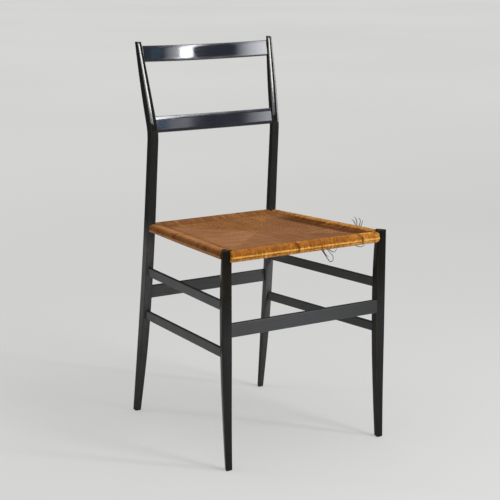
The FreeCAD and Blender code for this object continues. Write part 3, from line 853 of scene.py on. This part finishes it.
def leg_ring(width, depth, nose_shift, facet=0.0, turn=0.0, skew=0.0):
    """Outline of a leg about its face's middle, and how near each point is to a corner."""
    crown, corner, nose = CROWN_SHARE * width, CORNER_SHARE * width, NOSE_SHARE * width
    half = width / 2 - corner
    reach = (half ** 2 + crown ** 2) / (2 * crown)
    centre = np.array((0.0, reach + corner))
    right, left = np.array((half, crown + corner)), np.array((-half, crown + corner))
    tail = np.array((nose_shift, depth - nose))
    face_right = math.atan2(right[1] - centre[1], right[0] - centre[0])
    face_left = math.atan2(left[1] - centre[1], left[0] - centre[0])

    def side_angle(point, side):
        along = tail - point
        length = norm(along)
        tilt = (corner - nose) / length
        along = along / length
        across = np.array((along[1], -along[0])) * side
        direction = along * tilt + across * math.sqrt(1 - tilt ** 2)
        return math.atan2(direction[1], direction[0])

    def rim(middle, radius, angle):
        return middle + radius * np.array((math.cos(angle), math.sin(angle)))

    def flank(start, stop):
        return start + np.linspace(0, 1, FLANK_POINTS, endpoint=False)[:, None] * (stop - start)

    right_side, left_side = side_angle(right, 1), side_angle(left, -1)
    if left_side < 0:
        left_side += math.tau
    parts = (
        (arc_points(centre, reach + corner, face_left, face_right, CROWN_POINTS), 0.0),
        (arc_points(right, corner, face_right, right_side, CORNER_POINTS), 0.5),
        (flank(rim(right, corner, right_side), rim(tail, nose, right_side)), 0.0),
        (arc_points(tail, nose, right_side, left_side, NOSE_POINTS), 0.12),
        (flank(rim(tail, nose, left_side), rim(left, corner, left_side)), 0.0),
        (arc_points(left, corner, left_side, face_left + math.tau, CORNER_POINTS), 0.5),
    )
    ring = np.vstack([points for points, edge in parts])
    edges = np.hstack([np.full(len(points), edge) for points, edge in parts])
    if skew:
        ring[:, 1] += skew * ring[:, 0] * np.clip(1 - ring[:, 1] / (0.5 * depth), 0, 1)
    if facet:
        front = ring[:, 1] < width * 0.25
        slope = ring[:, 0] * math.tan(turn)
        flat = np.min((ring[:, 1] - slope)[front]) + facet + slope
        ring[:, 1] = np.where(front, np.maximum(ring[:, 1], flat), ring[:, 1])
    return ring, edges


def loft(name, rings, edges, cap_round=1.2):
    """Closed mesh through rings of points, with both ends a little rounded."""
    def shrink(ring, inset, lift):
        middle = ring.mean(0)
        reach = norm(ring - middle, axis=1)[:, None]
        moved = middle + (ring - middle) * (1 - inset / np.maximum(reach, 1e-6))
        moved[:, 2] += lift
        return moved

    start, stop = [], []
    for angle in (math.pi / 2, math.pi / 3, math.pi / 6):
        inset = cap_round * (1 - math.cos(angle))
        lift = cap_round - cap_round * math.sin(angle)
        start.append(shrink(rings[0], inset, lift))
        stop.insert(0, shrink(rings[-1], inset, -lift))
    rings = start + rings[1:-1] + stop
    count = len(edges)
    wear = np.tile(edges, len(rings))
    wear[:3 * count] = np.maximum(wear[:3 * count], 0.4)
    wear[-3 * count:] = 0.5
    return build_mesh(name, np.vstack(rings) * MM, tube_faces(len(rings), count),
                      {"edge": wear}, flat_ends=True)


def place_ring(ring, x, front_y, z, mirror):
    across = (ring[:, 0] + x) * (-1 if mirror else 1)
    return np.stack((across, ring[:, 1] + front_y, np.full(len(ring), z)), 1)


def front_leg(side, mirror):
    rings = []
    for z in np.hstack(((0, END_STEP), np.linspace(6, LEG_TOP_Z - 6, 110),
                        (LEG_TOP_Z - END_STEP, LEG_TOP_Z))):
        share = z / LEG_TOP_Z
        width = FRONT_FOOT_WIDTH + FRONT_MORE_WIDTH * curve_through(FRONT_WIDTH, share)
        depth = FRONT_FOOT_DEPTH + FRONT_MORE_DEPTH * curve_through(FRONT_DEPTH, share)
        front_y = FACE_Y - FRONT_LEAD_BY * curve_through(FRONT_LEAD, share)
        ring, edges = leg_ring(width, depth, FRONT_NOSE)
        rings.append(place_ring(ring, -FRONT_X, front_y, z, mirror))
    piece = loft("front_leg_" + side + "_wood", rings, edges)
    finish_piece(piece, lacquer_leg, "front_leg_" + side)


def rear_leg(side, mirror, turn, painted_highlight):
    """Turn is how far the post's face turns to the right; the last value is how strong the painted
    highlight line on its right is.
    """
    rings = []
    skew = turn + FACET_SKEW
    if mirror:
        turn, skew = -turn, -skew
    start_z, end_z = BEND_Z - BEND_REACH, BEND_Z + BEND_REACH

    def lower_place(z):
        share = z / BEND_Z
        bow = math.sin(math.pi * share)
        return (-(REAR_FOOT_X + (BEND_X - REAR_FOOT_X) * share - REAR_BOW_X * bow),
                REAR_FOOT_Y + (BEND_Y - REAR_FOOT_Y) * share - REAR_BOW_Y * bow)

    def post_place(z):
        share = (z - BEND_Z) / (POST_TOP_Z - BEND_Z)
        return -(BEND_X + POST_SPLAY * share), BEND_Y - BEND_DEPTH + POST_LEAN * share

    for z in np.hstack(((0, END_STEP), np.linspace(6, start_z, 130, endpoint=False))):
        share = z / start_z
        width = REAR_FOOT_WIDTH + REAR_MORE_WIDTH * curve_through(REAR_WIDTH, share)
        depth = REAR_FOOT_DEPTH + REAR_MORE_DEPTH * curve_through(REAR_DEPTH, share)
        x, back = lower_place(z)
        ring, edges = leg_ring(width, depth, REAR_NOSE)
        rings.append(place_ring(ring, x, back - depth, z, mirror))

    # The bend is a curve between the leg below and the post above
    low_x, low_back = lower_place(start_z)
    mid_x, mid_front = post_place(BEND_Z)
    high_x, high_front = post_place(end_z)
    for share in np.linspace(0, 1, 16, endpoint=False):
        near, middle, far = (1 - share) ** 2, 2 * share * (1 - share), share ** 2
        post_share = float(smooth(0.35, 1.0, share))
        ring, edges = leg_ring(BEND_WIDTH, BEND_DEPTH, REAR_NOSE, FACET * post_share, turn,
                               skew * post_share)
        rings.append(place_ring(
            ring, low_x * near + mid_x * middle + high_x * far,
            (low_back - BEND_DEPTH) * near + mid_front * middle + high_front * far,
            start_z + (end_z - start_z) * share, mirror))

    for z in np.hstack((np.linspace(end_z, POST_TOP_Z - 5, 70), (POST_TOP_Z - 1.0, POST_TOP_Z))):
        share = (z - end_z) / (POST_TOP_Z - end_z)
        width = BEND_WIDTH + (POST_TOP_WIDTH - BEND_WIDTH) * curve_through(POST_WIDTH, share)
        depth = BEND_DEPTH + (POST_TOP_DEPTH - BEND_DEPTH) * curve_through(POST_DEPTH, share)
        x, front = post_place(z)
        taper = width / BEND_WIDTH
        ring, edges = leg_ring(width, depth, REAR_NOSE * taper, FACET * taper, turn, skew)
        if mirror:
            wider = 1 + RIGHT_POST_WIDER * smooth(end_z, end_z + WIDER_OVER, z)
            ring[:, 0] = np.where(ring[:, 0] < 0, ring[:, 0] * wider, ring[:, 0])
        rings.append(place_ring(ring, x, front, z, mirror))
    piece = loft("rear_leg_" + side + "_wood", rings, edges, 1.0)
    finish_piece(piece, lacquer_rear, "rear_leg_" + side)

    # The post's face has its own lacquer, and a painted highlight runs as a pale line along it
    piece.data.materials.append(lacquer_facet)
    count = len(edges)
    marked = range(1, 4) if mirror else range(CROWN_POINTS + 1, CROWN_POINTS + 6)
    rng = np.random.default_rng(71)
    wear = piece.data.attributes["edge"].data
    for row in range(len(piece.data.vertices) // count):
        if piece.data.vertices[row * count].co.z < BEND_Z * MM:
            continue
        for k in marked:
            wear[row * count + k].value = painted_highlight * rng.uniform(0.85, 1.0) if mirror else painted_highlight
    for face in piece.data.polygons[:-2]:
        if face.center.z > (BEND_Z + FACET_ABOVE) * MM and face.index % count < CROWN_POINTS:
            face.material_index = 1


front_leg("left", False)
front_leg("right", True)
rear_leg("left", False, math.radians(4.3), 0.60)
rear_leg("right", True, math.radians(-0.6), 0.97)


# Back slats, bowed to the rear and leaning with the posts, in millimetres

SLAT_THICKNESS, SLAT_CORNER = 8.0, 1.4
SLAT_STEPS = 120


def back_slat(which, half_span, y, z, height, bow):
    lean = math.atan2(POST_LEAN, POST_TOP_Z - BEND_Z)
    up = np.array((0, math.sin(lean), math.cos(lean)))
    rearward = np.array((0, math.cos(lean), -math.sin(lean)))
    radius = (half_span ** 2 + bow ** 2) / (2 * bow)
    outline, edges = [], []
    half_thick, half_high = SLAT_THICKNESS / 2 - SLAT_CORNER, height / 2 - SLAT_CORNER
    for cx, cz, first in ((-half_thick, -half_high, 180), (half_thick, -half_high, 270),
                          (half_thick, half_high, 0), (-half_thick, half_high, 90)):
        for step in range(7):
            angle = math.radians(first + 15 * step)
            outline.append((cx + SLAT_CORNER * math.cos(angle),
                            cz + SLAT_CORNER * math.sin(angle)))
            edges.append(0.5 if 1 <= step <= 5 else 0.15)
        if cx * cz > 0:
            continue
        across, along = outline[-1]
        for part in (0.2, 0.4, 0.6, 0.8):
            outline.append((across, along - 2 * along * part))
            edges.append(0.0)
    outline = np.array(outline)
    rings = []
    for x in np.linspace(-half_span, half_span, SLAT_STEPS):
        sag = bow - (radius - math.sqrt(radius ** 2 - x ** 2))
        inward = np.array((-x / radius, 0, 0)) - rearward * math.sqrt(1 - (x / radius) ** 2)
        centre = np.array((x, y, z)) + rearward * sag
        rings.append(centre - outline[:, :1] * inward + outline[:, 1:] * up)
    faces = [face[::-1] for face in tube_faces(SLAT_STEPS, len(outline))]
    piece = build_mesh("back_slat_" + which + "_wood", np.vstack(rings) * MM, faces,
                       {"edge": np.tile(edges, SLAT_STEPS)}, flat_ends=True)
    finish_piece(piece, lacquer_slat, "back_slat_" + which)


back_slat("upper", 159.5, 178.8, 804.2, 34.4, 12.0)
back_slat("lower", 150.5, 142.3, 655.9, 34.8, 5.0)


# Camera at the photograph's place

CAMERA_PLACE = (-1.6297, -2.5690, 1.0560)
CAMERA_TURN = (77.671, 0.0, -32.405)
camera_data = bpy.data.cameras.new("camera")
camera_data.lens = 104.41
camera_data.sensor_width = 36
camera_data.clip_end = 100
camera = new_object("camera", camera_data)
camera.location = CAMERA_PLACE
camera.rotation_euler = [math.radians(angle) for angle in CAMERA_TURN]
scene.camera = camera


# Floor that sweeps up into a backdrop far behind

FLOOR_START_Y, FLOOR_LENGTH, SWEEP_RADIUS, FLOOR_HALF, FLOOR_ROWS = -12, 36, 8, 30.0, 40
SWEEP_Y = FLOOR_START_Y + FLOOR_LENGTH


def studio_floor():
    """Paper whose tint shows evenly to the camera and in reflections, yet keeps the shadow."""
    material, tree, surface = empty_material("studio_floor")
    place = object_place(tree)
    # Faint broad patches in the tint paint soft light and shade over the paper
    tint = ramp(tree, noise(tree, place, 0.35, 2.0),
                ((0.3, (0.645, 0.645, 0.632)), (0.7, (0.675, 0.675, 0.665))))
    paper = add(tree, "BsdfDiffuse", {"Color": tint})
    even = add(tree, "Emission", {"Color": tint, "Strength": 1.0})
    path = add(tree, "LightPath").outputs
    seen = maths(tree, "MAXIMUM", path["Is Camera Ray"], path["Is Glossy Ray"])
    seen = maths(tree, "MAXIMUM", seen, path["Is Transmission Ray"])
    far = remap(tree, axis(tree, place, "Y"), 0.6, 4.0, 0.53, 1.0, interpolation_type="SMOOTHSTEP")
    blend = add(tree, "MixShader", {
        0: times(tree, seen, far), 1: paper.outputs[0], 2: even.outputs[0]})
    feed(tree, surface, blend.outputs[0])
    points, faces = [], []
    for row in range(FLOOR_ROWS + 1):
        share = row / FLOOR_ROWS
        if share < 0.5:
            y, z = FLOOR_START_Y + FLOOR_LENGTH * share * 2, 0.0
        else:
            angle = (share - 0.5) * math.pi
            y, z = SWEEP_Y + SWEEP_RADIUS * math.sin(angle), SWEEP_RADIUS * (1 - math.cos(angle))
        points.extend(((-FLOOR_HALF, y, z), (FLOOR_HALF, y, z)))
        if row:
            last = len(points)
            faces.append((last - 4, last - 3, last - 1, last - 2))
    floor = build_mesh("studio_floor", points, faces, {})
    floor.data.materials.append(material)


studio_floor()


# Plain soft studio light: softboxes to the front right, the front and the rear left

AIM = Vector((0, 0.15, 0.75))


def softbox(name, azimuth, elevation, distance, size, radiance, tint=(1, 1, 1), fade=None):
    """Area light aimed at the slats. Azimuth 0 is straight ahead of the seat, 90 its right.

    Fade gives its strength over its width, from the left to the right as the slats see it.
    """
    turn, rise = math.radians(azimuth), math.radians(elevation)
    away = Vector((math.sin(turn) * math.cos(rise), -math.cos(turn) * math.cos(rise),
                   math.sin(rise)))
    light = bpy.data.lights.new(name, "AREA")
    light.shape = "RECTANGLE"
    light.size, light.size_y = size
    light.energy = radiance * math.pi * size[0] * size[1]
    light.color = tint
    if fade:
        light.use_nodes = True
        tree = light.node_tree
        tree.nodes.clear()
        across = axis(tree, add(tree, "NewGeometry").outputs["Parametric"], "X")
        glow = add(tree, "Emission", {"Strength": ramp(tree, across, fade)})
        add(tree, "OutputLight", {"Surface": glow.outputs[0]})
    lamp = new_object(name, light)
    lamp.location = AIM + away * distance
    lamp.rotation_euler = (-away).to_track_quat("-Z", "Y").to_euler()


softbox("right_core", 36.5, 31.3, 3.2, (0.147, 1.75), 28)
softbox("right_side", 39.55, 31.3, 3.2, (0.20, 1.75), 8, fade=((0.0, 1.0), (1.0, 0.05)))
softbox("post_low", 35.95, 14.2, 3.3, (0.030, 0.20), 7.5)
softbox("post_mid", 35.65, 15.65, 3.3, (0.030, 0.06), 14)
softbox("right_low", 33.9, 14.0, 3.2, (0.068, 0.16), 2.7)
softbox("right_end", 29.4, 14.6, 3.2, (0.10, 0.16), 10.5, fade=((0.0, 1.0), (1.0, 0.2)))
softbox("front", 20.2, 31.0, 3.2, (0.66, 1.78), 14.3,
        fade=((0.0, 0.8), (0.55, 1.0), (0.78, 0.6), (1.0, 0.02)))
softbox("rear_left", 232.0, 26.0, 3.4, (0.6, 1.2), 5.5)
softbox("blue_low", 34.95, 14.4, 3.2, (0.035, 0.16), 1.1, (0.20, 0.60, 1.0))
softbox("blue_high", 43.2, 19.0, 3.2, (0.12, 0.30), 0.7, (0.20, 0.70, 1.0))

scene.world = bpy.data.worlds.new("studio")
scene.world.use_nodes = True
sky = scene.world.node_tree
up = axis(sky, add(sky, "TexCoord").outputs["Generated"], "Z")
glow = ramp(sky, up, ((0.0, (0.080, 0.085, 0.10)), (0.45, (0.085, 0.095, 0.11)),
                      (0.70, (0.72, 0.73, 0.75)), (1.0, (1.35, 1.35, 1.35))))
background = sky.nodes["Background"].inputs
feed(sky, background["Color"], glow)
feed(sky, background["Strength"], 1.0)

scene.view_settings.view_transform = "Standard"
